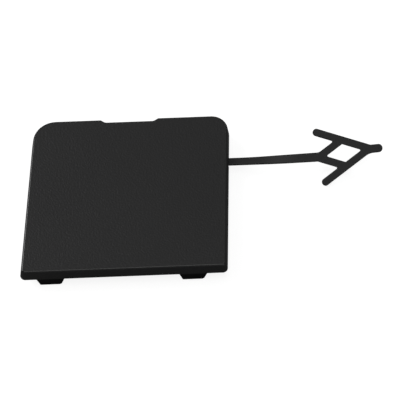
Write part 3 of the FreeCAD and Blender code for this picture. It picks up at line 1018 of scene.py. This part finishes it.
floor_paint = bpy.data.materials.new("floor_paint")
floor_paint.use_nodes = True
nodes = floor_paint.node_tree.nodes
links = floor_paint.node_tree.links
nodes.clear()
to_camera = nodes.new("ShaderNodeLightPath")
white = nodes.new("ShaderNodeEmission")
white.inputs["Strength"].default_value = FLOOR_GLOW
shaded = nodes.new("ShaderNodeBsdfDiffuse")
shaded.inputs["Color"].default_value = (FLOOR_PAINT, FLOOR_PAINT, FLOOR_PAINT, 1)
seen = nodes.new("ShaderNodeAddShader")
dim = nodes.new("ShaderNodeBsdfDiffuse")
dim.inputs["Color"].default_value = (FLOOR_DIM, FLOOR_DIM, FLOOR_DIM, 1)
choice = nodes.new("ShaderNodeMixShader")
output = nodes.new("ShaderNodeOutputMaterial")
links.new(white.outputs["Emission"], seen.inputs[0])
links.new(shaded.outputs["BSDF"], seen.inputs[1])
links.new(to_camera.outputs["Is Camera Ray"], choice.inputs["Fac"])
links.new(dim.outputs["BSDF"], choice.inputs[1])
links.new(seen.outputs["Shader"], choice.inputs[2])
links.new(choice.outputs["Shader"], output.inputs["Surface"])
floor_mesh.materials.append(floor_paint)
print("floor glows", FLOOR_GLOW, "to the camera and reflects", FLOOR_DIM, "to the part")

# %% [markdown]
# ## World
#
# The world is white to the camera too. For every other ray it is an even grey, which does about half
# of the lighting. Without it a black object is lit well from one side only, and turns into a mirror
# for the lamps from another. A Map Range node chooses between the two strengths.

# %% World
STUDIO_GREY = 0.29

world = bpy.data.worlds.new("studio")
bpy.context.scene.world = world
world.use_nodes = True
nodes = world.node_tree.nodes
links = world.node_tree.links
background = nodes["Background"]
to_camera = nodes.new("ShaderNodeLightPath")
strength = nodes.new("ShaderNodeMapRange")
strength.inputs["To Min"].default_value = STUDIO_GREY
strength.inputs["To Max"].default_value = 1.0
background.inputs["Color"].default_value = (1, 1, 1, 1)
links.new(to_camera.outputs["Is Camera Ray"], strength.inputs["Value"])
links.new(strength.outputs["Result"], background.inputs["Strength"])
print("world gives", STUDIO_GREY, "of white to the object")

# %% [markdown]
# ## Soft lamps
#
# The photograph's light comes mostly from behind on the left: it draws the bright left edge. The main
# lamp stands there, and a weak one straight behind shades the face from top to bottom. One overhead
# draws the line along the face's lower edge, and one low in front keeps the skirt from going black.
# All are large squares, because a small lamp would show as a hard spot on the polished edge. None is
# strong or very low, or the face would glare when it is seen from the other side.

# %% Lamps
SUBJECT = Vector((0.03, 0.033, 0.0))
LAMP_DISTANCE = 1.3
LAMP_SIZE = 0.6


def softbox(name, azimuth, elevation, watts):
    """A square soft light that faces the object from a direction given in degrees."""
    turn = math.radians(azimuth)
    rise = math.radians(elevation)
    towards = Vector((math.cos(turn) * math.cos(rise), math.sin(turn) * math.cos(rise), math.sin(rise)))
    lamp = bpy.data.lights.new(name, "AREA")
    lamp.shape = "SQUARE"
    lamp.size = LAMP_SIZE
    lamp.energy = watts
    holder = bpy.data.objects.new(name, lamp)
    holder.location = SUBJECT + towards * LAMP_DISTANCE
    holder.rotation_euler = towards.to_track_quat("Z", "Y").to_euler()
    bpy.context.scene.collection.objects.link(holder)
    print("lamp", name, watts, "W")


softbox("main", 150, 40, 7.4)
softbox("back", 90, 40, 0.35)
softbox("overhead", -90, 87, 2.1)
softbox("low_front", -65, 25, 2.2)

# %% [markdown]
# ## Camera
#
# The panel's sides hardly converge in the photograph, so the lens is long. The camera looks down at 60
# degrees from 0.8 m, a little from the left. Its three axes are written out from those two angles,
# because a Track To constraint would leave its roll and its aim to Blender.

# %% Camera
AZIMUTH = math.radians(-2.48)
ELEVATION = math.radians(60)
DISTANCE = 0.8
AIM = Vector((31.235, 32.356, 0)) * MM
LENS_MM = 180
SENSOR_MM = 36

back = Vector((
    math.sin(AZIMUTH) * math.cos(ELEVATION),
    -math.cos(AZIMUTH) * math.cos(ELEVATION),
    math.sin(ELEVATION),
))
right = Vector((math.cos(AZIMUTH), math.sin(AZIMUTH), 0))
lens = bpy.data.cameras.new("camera")
lens.lens = LENS_MM
lens.sensor_width = SENSOR_MM
camera = bpy.data.objects.new("camera", lens)
turned = Matrix((right, back.cross(right), back)).transposed().to_4x4()
turned.translation = AIM + back * DISTANCE
camera.matrix_world = turned
bpy.context.scene.collection.objects.link(camera)
bpy.context.scene.camera = camera
bpy.context.scene.view_settings.view_transform = "Standard"
print("camera at", [round(value, 3) for value in camera.matrix_world.translation])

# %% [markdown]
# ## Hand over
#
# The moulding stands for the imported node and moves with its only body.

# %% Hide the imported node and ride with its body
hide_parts("cover")
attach(moulding, "root")
